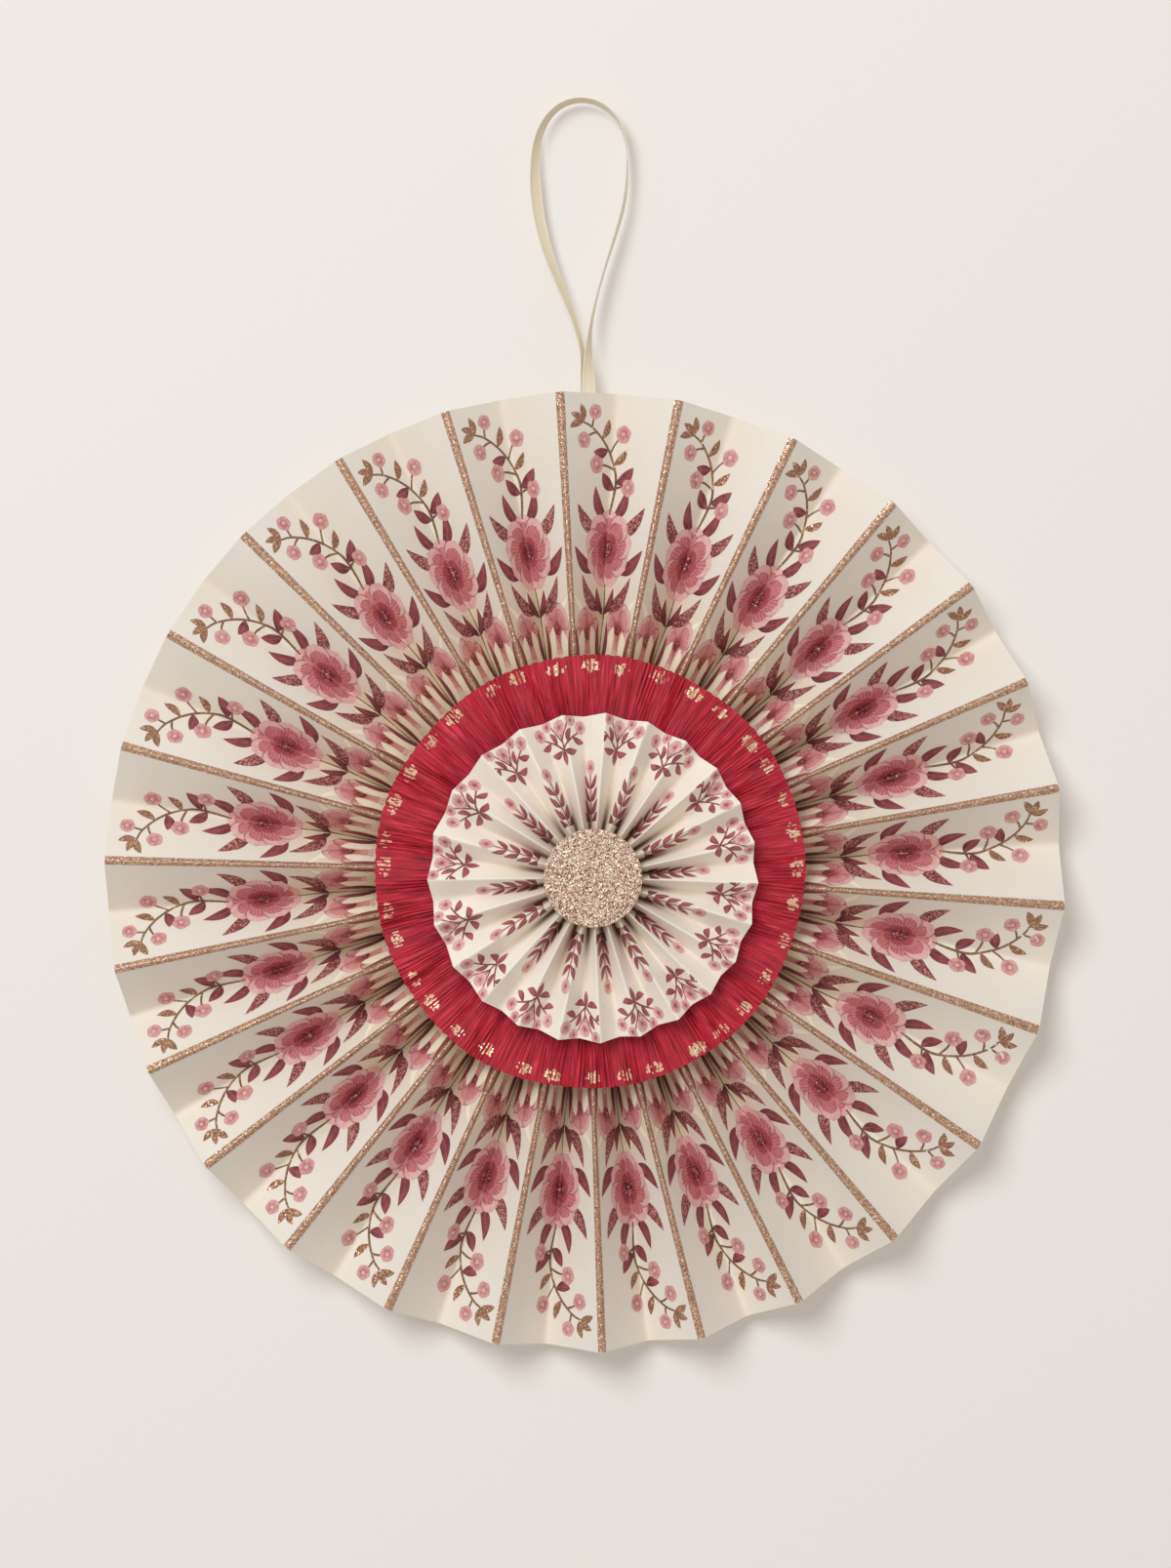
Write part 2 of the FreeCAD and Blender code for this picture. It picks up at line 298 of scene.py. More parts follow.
def smoothLine(points):
    # the points that Blender's own spline draws from its control points
    curve = bpy.data.curves.new("guide", "CURVE")
    curve.dimensions = "3D"
    spline = curve.splines.new("NURBS")
    spline.points.add(len(points) - 1)
    for control, point in zip(spline.points, points):
        control.co = (*point, 1)
    spline.order_u = 3
    spline.use_endpoint_u = True
    spline.resolution_u = ribbon["steps"]
    guide = bpy.data.objects.new("guide", curve)
    scene.collection.objects.link(guide)
    line = bpy.data.meshes.new_from_object(guide)
    places = [tuple(v.co) for v in line.vertices]
    bpy.data.objects.remove(guide)
    bpy.data.curves.remove(curve)
    bpy.data.meshes.remove(line)
    return np.array(places)


def unitLengths(vectors):
    return vectors / np.linalg.norm(vectors, axis=-1)[..., None]


def tubeFaces(rows, count):
    # rows of points in a ring, joined along the tube and closed at both ends
    faces = []
    for row in range(rows - 1):
        here, further = row * count, (row + 1) * count
        for k in range(count):
            beside = (k + 1) % count
            faces.append((here + k, here + beside, further + beside, further + k))
    faces.append(tuple(range(count)))
    faces.append(tuple(reversed(range((rows - 1) * count, rows * count))))
    return faces


def makeRibbon():
    line = smoothLine([point[:3] for point in ribbonRoute])
    turn = np.radians(smoothLine([(point[3], 0, 0) for point in ribbonRoute])[:, 0])
    cosine, sine = np.cos(turn)[:, None], np.sin(turn)[:, None]
    along = unitLengths(np.gradient(line, axis=0))
    intoLoop = unitLengths(np.stack([along[:, 2], 0 * turn, -along[:, 0]], 1))
    forward = np.array([0, -1, 0.0])
    across = forward * cosine - intoLoop * sine
    through = intoLoop * cosine + forward * sine
    run = np.concatenate([[0], np.cumsum(np.linalg.norm(np.diff(line, axis=0), axis=1))])
    # tiny loops stand out of the woven edge
    loops = np.abs(np.sin(math.pi * run / ribbon["picotPitch"]))
    ring = ribbonSection + [(share, -height) for share, height in reversed(ribbonSection)]
    corners, flat = [], []
    for share, height in ring:
        woven = np.sign(share) * (abs(share) > ribbon["picotFrom"]) * ribbon["picot"]
        edge = ribbon["width"] / 2 * share + woven * (loops - 1)
        lift = ribbon["gauge"] / 2 * height - ribbon["cup"] * (1 - share ** 2)
        corners.append(line + across * edge[:, None] + through * lift)
        flat.append(np.stack([run, np.full_like(run, share)], 1))
    places = np.stack(corners, 1).reshape(-1, 3)
    piece = pieceFromFaces("satin_ribbon", places, tubeFaces(len(line), len(ring)))
    setUv(piece.data.uv_layers.new(name="weave"), np.stack(flat, 1).reshape(-1, 2)[cornerPoints(piece)])
    tidyNormals(piece, 0)
    smoothUnder(piece, 50)
    return piece, line


def satinPaint():
    paint = Paint("cream satin", Roughness=0.42)
    along, across = paint.uv("weave")
    threads = paint.maths("SINE", across * 90.0)
    slub = paint.noise(paint.add("CombineXYZ", None, {0: along * 60.0, 1: across * 9.0}), 1.0, 3)
    edge = paint.remap(paint.maths("ABSOLUTE", across), 0.8, 0.86, 0, 1)
    stitches = paint.maths("SINE", along * (2 * math.pi / ribbon["picotPitch"]))
    body = paint.blend(paint.remap(slub, 0.3, 0.7), ribbon["satin"], ribbon["shade"])
    trim = paint.blend(paint.remap(stitches, -0.4, 0.6), ribbon["trim"], ribbon["trimShade"])
    paint.surface(Base_Color=paint.blend(edge, paint.blend(0.5, body, ribbon["satin"]), trim),
                  Roughness=paint.remap(edge + slub * 0.3, 0, 1.2, 0.33, 0.62))
    paint.bump(threads * 0.5 + stitches * edge, 0.05 * mm, 0.6)
    paint.shader.inputs["Sheen Weight"].default_value = 0.15
    return paint


ribbonPiece, ribbonLine = makeRibbon()
finishPiece(ribbonPiece, satinPaint(), "satin_ribbon", "ribbon_loop")


# Folded papers, in millimetres

# Every fold is a whole number q, the front ones even, and r is the distance from the middle. The columns are
# those of a panel that starts at a front fold, and of one that starts at a back fold. Ink is its height.
largeFan = {"radius": 152.5, "bore": 7.0, "paper": 0.3, "setback": 0.4, "pleats": 26, "rimDepth": 6.8,
            "first": -2.6, "swings": [(1, 2.0, 119.0), (2, 1.0, -28.0), (3, 0.8, 56.0), (4, 0.9, -146.0)],
            "right": 0.0, "up": 0.0, "frontFold": (0.02, 0.02), "backFold": (0.03, 0.09), "bow": -0.4,
            "drift": (-0.8, 0.6), "seed": 4, "ink": 0.05,
            "columns": [[0, 0.01, 0.02, 0.09, 0.2, 0.35, 0.5, 0.65, 0.8, 0.9, 0.94, 0.97],
                        [0, 0.03, 0.06, 0.1, 0.2, 0.35, 0.5, 0.65, 0.8, 0.91, 0.98, 0.99]],
            "rows": [7, 20, 36, 50, 58, 64, *range(69, 145, 5), 148, 152.5],
            "white": colour(233, 226, 215), "warm": colour(228, 220, 207), "crease": colour(222, 210, 192),
            # the warm ground tone towards the middle is partly printed tint and partly painted shade; the
            # last share is that of the brown painted shade in the back folds near the middle
            "groundAndShade": colour(240, 222, 190), "groundAndShadeFrom": 112, "groundAndShadeTo": 70, "groundAndShadeMost": 0.85,
            "foldShadeMost": 0.12}
smallRosette = {"radius": 52.0, "bore": 4.0, "paper": 0.25, "setback": 1.2, "pleats": 24, "rimDepth": 4.6,
                "first": 0.8, "swings": [(1, 3.7, 19.0), (2, 0.5, -66.0)],
                "right": 2.3, "up": -1.7, "frontFold": (0.05, 0.09), "backFold": (0.06, 0.3), "bow": -0.3,
                "drift": (0.0, 0.0), "seed": 9, "ink": 0.04,
                "columns": [[0, 0.03, 0.06, 0.1, 0.2, 0.3, 0.4, 0.5, 0.6, 0.7, 0.78, 0.85, 0.91, 0.96],
                            [0, 0.04, 0.09, 0.15, 0.22, 0.3, 0.4, 0.5, 0.6, 0.7, 0.8, 0.9, 0.94, 0.97]],
                "rows": [4, 7, 10, 13, *range(16, 53, 2)],
                "white": colour(244, 237, 225), "warm": colour(241, 231, 214),
                # the warm ground tone towards the middle is partly printed tint and partly painted shade; the
                # last share is that of the brown painted shade in the back folds near the middle
                "crease": colour(230, 218, 198), "groundAndShade": colour(216, 192, 160),
                "groundAndShadeFrom": 28, "groundAndShadeTo": 15, "groundAndShadeMost": 0.22, "foldShadeMost": 0.85}
# a brown painted shade for the back folds near the middle
paintedFoldShade = colour(112, 62, 50)

# what the papers lie between: the card's, the glue's and the crepe's gauge, and how high its gathers stand
layers = {"card": 1.0, "glue": 0.1, "crepe": 0.25, "gathers": 0.6}


class FoldedPaper:
    # a band of paper that is folded to and fro and drawn into a circle
    def __init__(self, plan):
        self.plan = plan
        fronts = [self.frontAngle(k) for k in range(plan["pleats"])]
        fronts.append(fronts[0] + 360.0)
        angles = []
        for this, following in zip(fronts, fronts[1:]):
            angles += [this, (this + following) / 2]
        self.count = len(angles)
        self.angles = np.array(angles)
        self.gaps = (np.roll(self.angles, -1) - self.angles) % 360
        widest = (2 * plan["radius"] * np.sin(np.radians(self.gaps / 2))).max()
        self.panel = math.hypot(widest, plan["rimDepth"])
        rng = np.random.default_rng(plan["seed"])
        self.bows = plan["bow"] * rng.uniform(0.3, 1.2, self.count)
        self.middle = 0.0

    def frontAngle(self, k):
        # the pleats are even but for a few slow swings, each with its waves, its reach and where it is widest
        even = 360.0 * k / self.plan["pleats"]
        swings = sum(reach * math.cos(math.radians(waves * even - widest))
                     for waves, reach, widest in self.plan["swings"])
        return self.plan["first"] + even + swings

    def depth(self, k, r):
        span = 2 * r * np.sin(np.radians(self.gaps[k % self.count] / 2))
        return np.sqrt(np.maximum(self.panel ** 2 - span ** 2, 0))

    def lift(self, k, r):
        side = np.where(k % 2 == 0, 1.0, -1.0)
        return side * (self.depth(k, r) + self.depth(k - 1, r)) / 4

    def highest(self, r):
        return np.abs(self.lift(np.arange(self.count), r)).max() + self.plan["paper"] / 2

    def fold(self, k, r):
        # the back folds fall a little short of the rim and lie a little to one side, more so to the rim
        share = np.where(k % 2 == 0, 0, r / self.plan["radius"])
        reach = r - self.plan["setback"] * share
        turn = np.radians(self.angles[k % self.count])
        right, up = self.plan["drift"]
        return reach * np.sin(turn) + right * share, reach * np.cos(turn) + up * share

    def at(self, q, r, above=0.0):
        # places on the paper's middle face, or above it along its own normal
        q, r = np.broadcast_arrays(np.asarray(q, float), np.asarray(r, float))
        places = self.middleFace(q, r)
        if not np.any(above):
            return places
        step = 1e-3
        acrossWay = self.middleFace(q + step, r) - self.middleFace(q - step, r)
        outWay = self.middleFace(q, r + step) - self.middleFace(q, r - step)
        normal = unitLengths(np.cross(acrossWay, outWay))
        normal *= np.where(normal[..., 1] < 0, 1.0, -1.0)[..., None]
        return places + normal * np.asarray(above)[..., None]

    def middleFace(self, q, r):
        # flat panels whose folds are rounded, each panel bowed a little
        k = np.floor(q).astype(int)
        t = q - k
        x0, z0 = self.fold(k, r)
        x1, z1 = self.fold(k + 1, r)
        before, here = self.lift(k - 1, r), self.lift(k, r)
        there, after = self.lift(k + 1, r), self.lift(k + 2, r)
        share = np.clip(r / self.plan["radius"], 0, 1)
        front, back = [low + (high - low) * share ** 1.5
                       for low, high in (self.plan["frontFold"], self.plan["backFold"])]
        soft = np.where(k % 2 == 0, front, back)
        softNext = np.where(k % 2 == 0, back, front)
        slopeBefore, slope, slopeAfter = here - before, there - here, after - there
        rise = here + slope * t
        rise = rise + (slope - slopeBefore) / (4 * soft) * np.maximum(soft - t, 0) ** 2
        rise = rise + (slopeAfter - slope) / (4 * softNext) * np.maximum(softNext - (1 - t), 0) ** 2
        rise = rise + self.bows[k % self.count] * share * (4 * t * (1 - t)) ** 2
        x = x0 + (x1 - x0) * t + self.plan["right"]
        z = z0 + (z1 - z0) * t + self.plan["up"]
        return np.stack([x, -(self.middle + rise), z], -1)


fan = FoldedPaper(largeFan)
rosette = FoldedPaper(smallRosette)
fan.middle = layers["card"] + layers["glue"] + fan.highest(largeFan["bore"])
ringTop = fan.middle + fan.highest(largeFan["bore"]) + layers["glue"] + layers["gathers"] + layers["crepe"]
rosette.middle = ringTop + layers["glue"] + rosette.highest(smallRosette["bore"])
discBack = rosette.middle + rosette.highest(smallRosette["bore"]) + layers["glue"]


def foldPaper(name, paper):
    columns = paper.plan["columns"]
    across = np.array([k + c for k in range(paper.count) for c in columns[k % 2]] + [paper.count])
    q, r = np.meshgrid(across, np.array(paper.plan["rows"], float))
    piece = bentGrid(name, paper.at(q, r) * mm)
    flat = np.stack([q.ravel() * paper.panel, r.ravel()], 1) * mm
    layer = piece.data.uv_layers[0]
    layer.name = "flat"
    setUv(layer, flat[cornerPoints(piece)])
    tidyNormals(piece, 1e-6)
    faceFront(piece)
    sheet = len(piece.data.polygons)
    thicken(piece, paper.plan["paper"] * mm)
    blankBack(piece, sheet)
    smoothUnder(piece, 40)
    return piece


def blankBack(piece, sheet):
    # the thickened sheet has its faces twice, and those that lie behind are moved off the printed part
    # of the layer
    places = np.zeros(len(piece.data.vertices) * 3, np.float32)
    piece.data.vertices.foreach_get("co", places)
    points = cornerPoints(piece)
    deep = places.reshape(-1, 3)[points, 1]
    sides = [slice(0, 4 * sheet), slice(4 * sheet, 8 * sheet)]
    back = max(sides, key=lambda side: deep[side].mean())
    layer = piece.data.uv_layers["flat"]
    flat = np.zeros(len(points) * 2, np.float32)
    layer.data.foreach_get("uv", flat)
    flat.reshape(-1, 2)[back, 1] += 1
    setUv(layer, flat)


def paperPaint(name, paper):
    # smooth heavy paper: faint cloudy tone and fine tooth. On the front its ground turns to a warm tone
    # towards the middle, partly printed tint and partly painted shade, and to a warm painted shade in the
    # back folds;
    # near the middle the back folds get a brown painted shade as well.
    plan = paper.plan
    paint = Paint(name, Roughness=0.62)
    place = paint.place()
    cloud = paint.noise(place, 26.0, 4)
    tooth = paint.noise(place, 2600.0, 2)
    fibre = paint.noise(paint.stretched(place, (900, 900, 300)), 1.0, 3)
    across, reach = paint.uv("flat")
    hollow = 0.5 - paint.maths("COSINE", across * (math.pi / (paper.panel * mm))) * 0.5
    near = paint.remap(reach, plan["groundAndShadeFrom"] * mm, plan["groundAndShadeTo"] * mm, 0, 1, True)
    printed = 1 - (reach > 0.5)
    # how much warm tone: partly printed tint towards the middle, and painted shade in the back folds
    groundAndShade = near * (hollow * 0.35 + 0.65) * plan["groundAndShadeMost"] + hollow ** 4 * 0.26
    tone = paint.blend(paint.remap(cloud, 0.35, 0.65, 0, 0.6), plan["white"], plan["warm"])
    tone = paint.blend(paint.remap(fibre, 0.6, 0.75, 0, 0.35), tone, plan["crease"])
    tone = paint.blend(groundAndShade * printed, tone, plan["groundAndShade"])
    # brown painted shade deep in the back folds near the middle
    tone = paint.blend(near * hollow ** 4 * plan["foldShadeMost"] * printed, tone, paintedFoldShade)
    paint.surface(Base_Color=tone, Roughness=paint.remap(cloud, 0.3, 0.7, 0.55, 0.68))
    paint.bump(tooth + fibre * 0.5, 0.012 * mm, 0.5)
    return paint


finishPiece(foldPaper("folded_fan_paper", fan), paperPaint("fan paper", fan), "fan_paper", "large_fan")
finishPiece(foldPaper("folded_rosette_paper", rosette), paperPaint("rosette paper", rosette),
            "rosette_paper", "small_rosette")


# Print: flat shapes in the paper's own millimetres, laid on its facets as thin coats of ink

# where a shape is widest, as a share of its length, and how pointed its ends are: less is rounder
leafForm = (0.5, 0.85)
petalForm = (0.66, 0.6)
huskForm = (0.66, 0.7)
bothSides = (-1, 1)


def unit(vector):
    return vector / np.linalg.norm(vector)


def shape(ink, outline, base, tip, width, bow=0.0):
    # every outline runs the same way round
    outline = np.array(outline, float)
    area = np.sum(outline[:, 0] * np.roll(outline[:, 1], -1) - np.roll(outline[:, 0], -1) * outline[:, 1])
    return {"ink": ink, "outline": outline if area > 0 else outline[::-1], "base": np.array(base, float),
            "tip": np.array(tip, float), "width": width, "bow": bow}


def fullestPower(fullest):
    return math.log(0.5) / math.log(fullest)


def blade(ink, base, tip, width, bow=0.0, form=leafForm, steps=11):
    # a leaf or petal whose rib is bowed to one side
    fullest, point = form
    base, tip = np.array(base, float), np.array(tip, float)
    way = tip - base
    side = np.array([-way[1], way[0]])
    left, right = [], []
    for i in range(steps + 1):
        s = i / steps
        rib = base + way * s + side * bow * 4 * s * (1 - s)
        half = width / 2 * math.sin(math.pi * s ** fullestPower(fullest)) ** point if 0 < i < steps else 0
        left.append(rib + unit(side) * half)
        right.append(rib - unit(side) * half)
    return shape(ink, left + right[-2:0:-1], base, tip, width, bow)


def blades(plans, side=1, about=0.0):
    # leaves as they are drawn for the right side, put on either side of a line
    parts = []
    for ink, base, tip, width, bow, *form in plans:
        base, tip = (about + side * base[0], base[1]), (about + side * tip[0], tip[1])
        parts.append(blade(ink, base, tip, width, side * bow, *form))
    return parts


def roundel(ink, middle, radius, lobes=0, waviness=0.0):
    steps = lobes * 4 if lobes else 14
    outline = []
    for i in range(steps):
        turn = 2 * math.pi * i / steps
        reach = radius * (1 + waviness * math.cos(lobes * turn))
        outline.append((middle[0] + reach * math.cos(turn), middle[1] + reach * math.sin(turn)))
    return shape(ink, outline, (middle[0], middle[1] - radius), (middle[0], middle[1] + radius), 2 * radius)


def curved(points, steps=6):
    points = [np.array(p, float) for p in points]
    padded = [2 * points[0] - points[1]] + points + [2 * points[-1] - points[-2]]
    line = []
    for a, b, c, d in zip(padded, padded[1:], padded[2:], padded[3:]):
        for i in range(steps):
            t = i / steps
            line.append(0.5 * (2 * b + (c - a) * t + (2 * a - 5 * b + 4 * c - d) * t * t
                               + (3 * b - a - 3 * c + d) * t ** 3))
    return line + [points[-1]]


def stem(ink, points, width, taper=0.8):
    line = curved(points)
    left, right = [], []
    for i, point in enumerate(line):
        way = line[min(i + 1, len(line) - 1)] - line[max(i - 1, 0)]
        side = unit(np.array([-way[1], way[0]]))
        half = width / 2 * (1 - (1 - taper) * i / (len(line) - 1))
        left.append(point + side * half)
        right.append(point - side * half)
    return shape(ink, left + right[::-1], line[0], line[-1], width)


def turned(point, degrees, about):
    c, s = math.cos(math.radians(degrees)), math.sin(math.radians(degrees))
    x, y = point[0] - about[0], point[1] - about[1]
    return about[0] + c * x - s * y, about[1] + s * x + c * y


def blossom(middle, petals, reach, plump, outer="rim", inner="petal", first=0.0, rim=0.2, steps=10):
    # an open flower of round petals, each with a pale rim where it has an inner ink
    parts = []
    width = plump * 2 * reach * math.sin(math.pi / petals)
    for i in range(petals):
        turn = first + 360 * i / petals
        tip = turned((middle[0], middle[1] + reach), turn, middle)
        parts.append(blade(outer, middle, tip, width, 0, petalForm, steps))
        if inner:
            tip = turned((middle[0], middle[1] + reach * (1 - rim)), turn, middle)
            parts.append(blade(inner, middle, tip, width * (1 - 1.4 * rim), 0, petalForm, steps))
    return parts


def smallBloom(at, root, size, first):
    # a short stalk with a small open flower
    middle = ((at[0] + root[0]) / 2, (at[1] + root[1]) / 2 + 0.5)
    flower = blossom(at, 5, size, 0.84, "bud", None, first, steps=7)
    return [stem("stem", [root, middle, at], 0.8)] + flower + [roundel("dot", at, size * 0.26)]


def berry(at, size, dot, first):
    flower = blossom(at, 5, size, 0.98, "berry", None, first, steps=7)
    return flower + [roundel("berryDot", at, dot)]


def fanFoot():
    # at the crepe ring: pale and dark blade leaves, and a round blossom on either side
    behind = [("husk", (9.4, 60), (20.8, 88), 5.0, 0.16), ("husk", (1.0, 60), (5.4, 92), 4.8, -0.14)]
    before = [("husk", (6.2, 60), (8.4, 78.5), 6.2, 0.08, huskForm),
              ("husk", (15.8, 60), (14.6, 77.0), 6.2, -0.08, huskForm),
              ("leaf", (19.4, 62), (20.6, 78), 3.0, 0.04), ("leaf", (0.8, 64), (3.2, 80), 2.8, -0.1)]
    parts = []
    for side in bothSides:
        at = (side * 11.2, 77.0 + side)
        parts += blades(behind, side)
        parts.append(stem("stem", [(side * 3, 60), (side * 7, 66), at], 1.2))
        parts += blossom(at, 5, 8.6, 1.05, inner="palePetal", first=20 * side)
        parts += [roundel("deep", at, 2.3, 5, 0.14), roundel("heart", at, 1.2)]
        parts += blades(before, side)
    return parts + [stem("stem", [(0.2, 60), (-0.8, 70), (0.8, 82), (0, 93)], 1.3, 0.9)]


def fanBloom():
    # dark leaves in pairs up the stem and about the open bloom
    middle = (0, 103.2)
    leaves = [("speckled", (0.4, 84), (14.6, 94.6), 5.0, -0.2), ("leaf", (0, 82), (5.6, 91.0), 3.2, -0.14),
              ("leaf", (6, 96), (18.6, 103.5), 4.8, -0.16), ("speckled", (4, 108), (16.4, 117.2), 4.8, -0.16),
              ("leaf", (1, 112), (7.6, 123.0), 4.2, -0.16)]
    parts = []
    for side in bothSides:
        parts += blades(leaves, side)
    parts += blossom(middle, 9, 12.8, 1.12)
    parts += blossom(middle, 7, 7.2, 1.1, "petal", "deep", 14, 0.22, 9)
    return parts + [roundel("heart", middle, 2.9, 9, 0.1)]


def fanTwig():
    # to the rim, swaying to the left, with leaves, small blossoms and gold tips
    line = [(0, 114), (1.6, 120), (2.0, 126), (-0.6, 132), (-4.6, 137.4), (-9.6, 141.6), (-13.4, 143.2)]
    leaves = [("leaf", (1.7, 122), (-4.6, 127.4), 4.0, 0.12), ("leaf", (2.0, 124), (9.0, 129.6), 4.2, -0.12),
              ("leaf", (-2.4, 134.6), (-8.8, 133.8), 3.5, 0.12),
              ("gold", (0.4, 130), (5.6, 135.2), 2.7, -0.12), ("gold", (-5.2, 138), (-2.6, 144.4), 2.7, -0.1)]
    blooms = [((-7.4, 129.8), (1.0, 128.4), 3.1, 10), ((7.6, 123.0), (1.8, 122.4), 3.0, 40),
              ((3.6, 139.8), (-1.4, 133.6), 3.0, 70), ((-13.0, 137.4), (-7.6, 140.2), 2.8, 0),
              ((-8.4, 146.6), (-9.6, 141.6), 2.6, 25)]
    tips = [(-18.8, 141.2), (-18.2, 145.8), (-14.2, 149.0)]
    parts = [stem("stem", line, 1.2, 0.55)] + blades(leaves)
    for bloom in blooms:
        parts += smallBloom(*bloom)
    return parts + [blade("gold", (-13.2, 143.2), tip, 2.5, -0.08) for tip in tips]


def rosettePosy(u):
    # a posy at the rim
    leaves = [("twig", (0.4, 41.4), (6.2, 41.0), 2.3, -0.14), ("twig", (2.4, 43.4), (4.6, 48.2), 2.0, 0.1),
              ("twig", (4.8, 45.2), (9.8, 43.4), 2.2, -0.1), ("twig", (0.6, 46.0), (1.8, 50.8), 1.8, 0.1)]
    parts = [stem("twig", [(u, 38.6), (u + 0.4, 42), (u, 47)], 0.8)]
    parts.append(blade("twig", (u, 41.6), (u + 0.3, 36.4), 2.4))
    for side in bothSides:
        parts.append(stem("twig", [(u, 41.6), (u + side * 3.6, 44.4), (u + side * 8.6, 47.2)], 0.7))
        parts.append(stem("twig", [(u, 44.2), (u + side * 2.4, 48), (u + side * 4.4, 51.6)], 0.6))
        parts += blades(leaves, side, u)
        parts += berry((u + side * 8.8, 48.2), 2.3, 2.3 * 0.28, 12 * side)
        parts += berry((u + side * 4.9, 50.6), 2.0, 2.0 * 0.28, 12 * side)
    return parts + berry((u, 48.8), 2.5, 0.7, 36)


def rosetteEar(u):
    # an ear of leaves within, in pairs: where each starts, how far it reaches and how wide it is
    parts = [stem("twig", [(u, 12.5), (u + 0.4, 22), (u, 34)], 1.1, 0.6)]
    leaves = [(12.5, 6.4, 4.0), (16.5, 6.0, 3.6), (20.5, 5.2, 3.0), (24.5, 4.4, 2.5), (28.5, 3.8, 2.2)]
    for start, reach, width in leaves:
        # the inner leaves are printed darker, partly as painted shade in the deep folds near the disc
        leaf = ("shadeLeaf" if start < 18 else "twig", (0, start), (reach, start + 4.6), width, -0.12)
        for side in bothSides:
            parts += blades([leaf], side, u)
    return parts + berry((u, 35.4), 2.5, 0.7, 0)


def cutShapes(paper, shapes, rows, panels):
    # the points of all shapes, cut by those that lie over them and by the paper's own grid, and for each
    # ink its cut faces with the number of the shape that each belongs to
    corners, edges, faces = [], [], []
    for one in shapes:
        faces.append(list(range(len(corners), len(corners) + len(one["outline"]))))
        corners += [Vector(p) for p in one["outline"]]
    middle = panels * paper.panel / 2
    columns = paper.plan["columns"]
    gridLines = {(k + c) * paper.panel - middle for k in range(panels) for c in columns[k % 2]} | {middle}
    low, high = min(rows), max(rows)
    for u in sorted(gridLines):
        edges.append((len(corners), len(corners) + 1))
        corners += [Vector((u, low)), Vector((u, high))]
    for v in rows:
        edges.append((len(corners), len(corners) + 1))
        corners += [Vector((-middle, v)), Vector((middle, v))]
    places, _, cuts, _, _, owners = delaunay_2d_cdt(corners, edges, faces, 1, 1e-4, True)
    places = np.array([tuple(p) for p in places])
    found = {}
    for cut, owner in zip(cuts, owners):
        mine = [o for o in owner if o < len(shapes)]
        centre = places[list(cut)].mean(0)
        if mine and low <= centre[1] <= high and abs(centre[0]) <= middle:
            found.setdefault(shapes[max(mine)]["ink"], []).append((cut, max(mine)))
    return places, found


def placeOnShape(place, one, number):
    # along the shape from 0 to 1, shifted by a number that differs from shape to shape, and across it from
    # its rib
    way = one["tip"] - one["base"]
    length = np.linalg.norm(way)
    side = np.array([way[1], -way[0]]) / length
    out = place - one["base"]
    along = out @ way / length ** 2
    ribOff = one["bow"] * 4 * along * (1 - along) * length
    return min(max(along, 0.0), 1.0) + 2 * (number % 7), (out @ side + ribOff) / one["width"]


def spreadInk(name, paper, shapes, rows, panels, slot):
    # one piece for each ink, with the shapes on every repeat of so many panels
    places, found = cutShapes(paper, shapes, rows, panels)
    repeats = paper.count // panels
    height = paper.plan["paper"] / 2 + paper.plan["ink"]
    pieces = {}
    for ink, cuts in found.items():
        used = sorted({i for cut, _ in cuts for i in cut})
        index = {old: new for new, old in enumerate(used)}
        flat = places[used]
        r = np.clip(flat[:, 1], min(rows), paper.plan["radius"] - 0.02)
        allPlaces, allFaces = [], []
        for repeat in range(repeats):
            q = repeat * panels + (flat[:, 0] + panels * paper.panel / 2) / paper.panel
            allPlaces.append(paper.at(q, r, np.full(len(q), height)))
            start = repeat * len(used)
            allFaces += [[start + index[i] for i in cut] for cut, _ in cuts]
        uvs = [placeOnShape(places[i], shapes[owner], owner) for cut, owner in cuts for i in cut]
        piece = pieceFromFaces(name + "_" + ink, np.concatenate(allPlaces) * mm, allFaces)
        setUv(piece.data.uv_layers.new(name="motif"), np.tile(np.array(uvs), (repeats, 1)))
        faceFront(piece)
        smoothUnder(piece, 40)
        pieces[ink] = piece
    for ink, piece in pieces.items():
        finishPiece(piece, inks[ink], slot)


def inkPaint(name, *tones, veins=0.0, line=0.0, rib=0.0, speckle=0.0, form=leafForm):
    # printed colour: deep at the foot of a shape, paler to its tip, with veins, an outline and a
    # water-colour mottle. The tones are those of the foot, the body and where the wash is thin.
    foot, body, thin = [colour(*tone) for tone in tones]
    paint = Paint(name, Roughness=0.6)
    run, across = paint.uv("motif")
    number = paint.maths("FLOOR", run / 2.0)
    along = run - number * 2.0
    place = paint.place()
    wash = paint.noise(place, 420.0, 4, 0.6)
    tone = paint.blend(paint.remap(along, 0.05, 0.8, 0, 1, True), foot, body)
    tone = paint.blend(paint.remap(wash, 0.42, 0.7, 0, 0.55), tone, thin)
    tone = paint.blend(paint.remap(wash, 0.48, 0.28, 0, 0.3), tone, foot)
    side = paint.maths("ABSOLUTE", across)
    if veins:
        rays = paint.maths("SINE", across / (along + 0.12) * 34.0 + number)
        tone = paint.blend(paint.remap(rays, 0.45, 0.95, 0, veins), tone, foot)
    if line:
        fullest, point = form
        swell = paint.maths("SINE", (along * 0.98 + 0.01) ** fullestPower(fullest) * math.pi)
        rim = side / (swell ** point * 0.5 + 0.01)
        tone = paint.blend(paint.remap(rim, 0.8, 0.97, 0, line), tone, foot)
    if rib:
        tone = paint.blend(paint.remap(side, 0.07, 0.03, 0, rib), tone, thin)
    if speckle:
        grain = paint.split(paint.cells(place, 2300.0))[0]
        tone = paint.blend((grain > 0.72) * speckle, tone, colour(226, 178, 152))
    paint.surface(Base_Color=tone)
    paint.bump(wash, 0.01 * mm, 0.4)
    return paint


